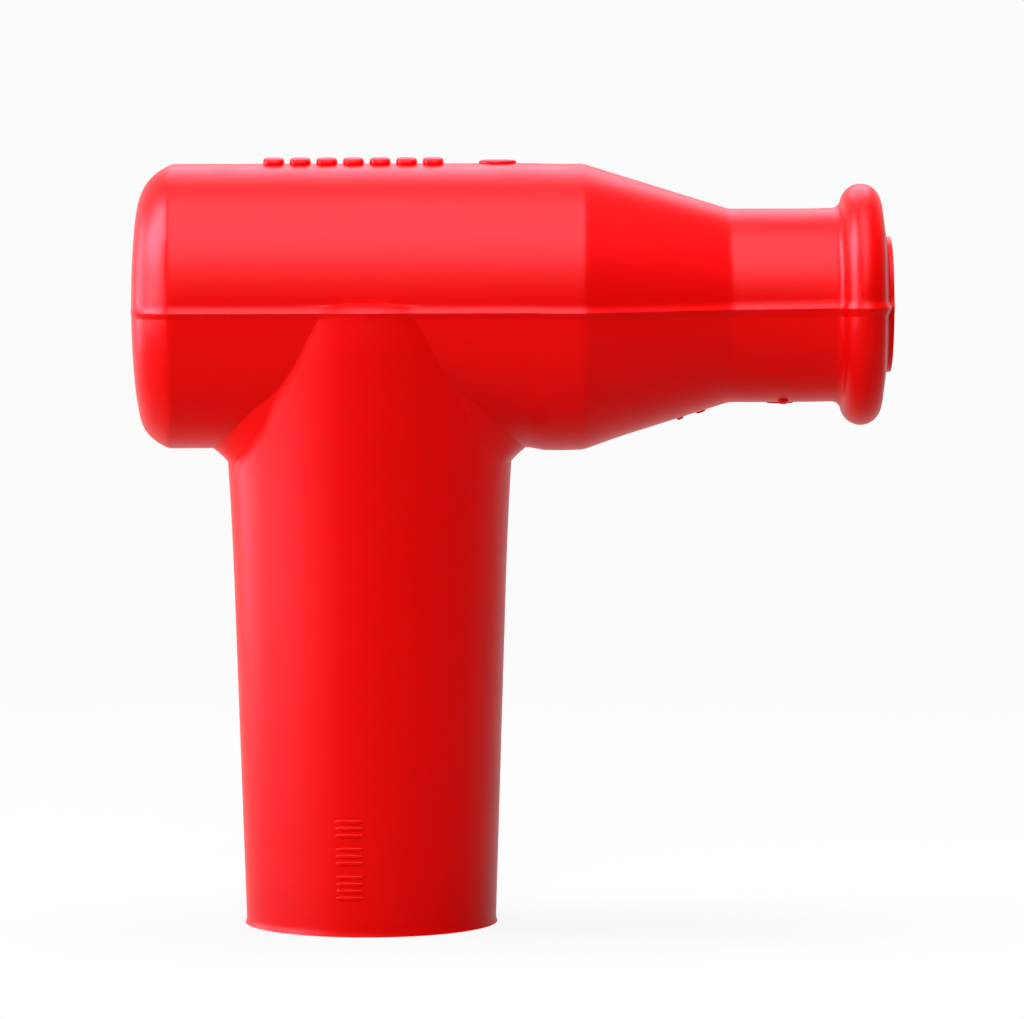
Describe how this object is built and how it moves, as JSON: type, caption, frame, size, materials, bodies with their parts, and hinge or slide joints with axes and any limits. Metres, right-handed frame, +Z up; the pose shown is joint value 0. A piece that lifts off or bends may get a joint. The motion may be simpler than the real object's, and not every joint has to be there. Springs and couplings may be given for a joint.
{
  "type": "spark plug cap",
  "caption": "Right-angle spark plug cap: a red silicone boot over a rigid insulator with its cable screw, suppressor resistor, spring, plug terminal and wire clip.",
  "frame": {"origin": "centre of the plug socket's mouth, on the plane of the leg's rim", "axes": "+Z up the leg from its mouth to the barrel, +X along the barrel from its closed end to the cable's mouth, +Y away from the pictured side"},
  "size_m": [0.0606, 0.0252, 0.0613],
  "materials": {
    "silicone": "satin",
    "phenolic": "matte",
    "brass": "machined",
    "spring_steel": "drawn wire",
    "plated_steel": "plated",
    "ceramic": "unglazed"
  },
  "bodies": {
    "root": {"boot": "silicone", "insulator": "phenolic", "cable_screw": "brass", "plug_terminal": "brass", "terminal_clip": "spring_steel", "resistor_rod": "ceramic", "resistor_cup_lower": "plated_steel", "resistor_cup_upper": "plated_steel", "contact_spring": "spring_steel"}
  },
  "joints": []
}
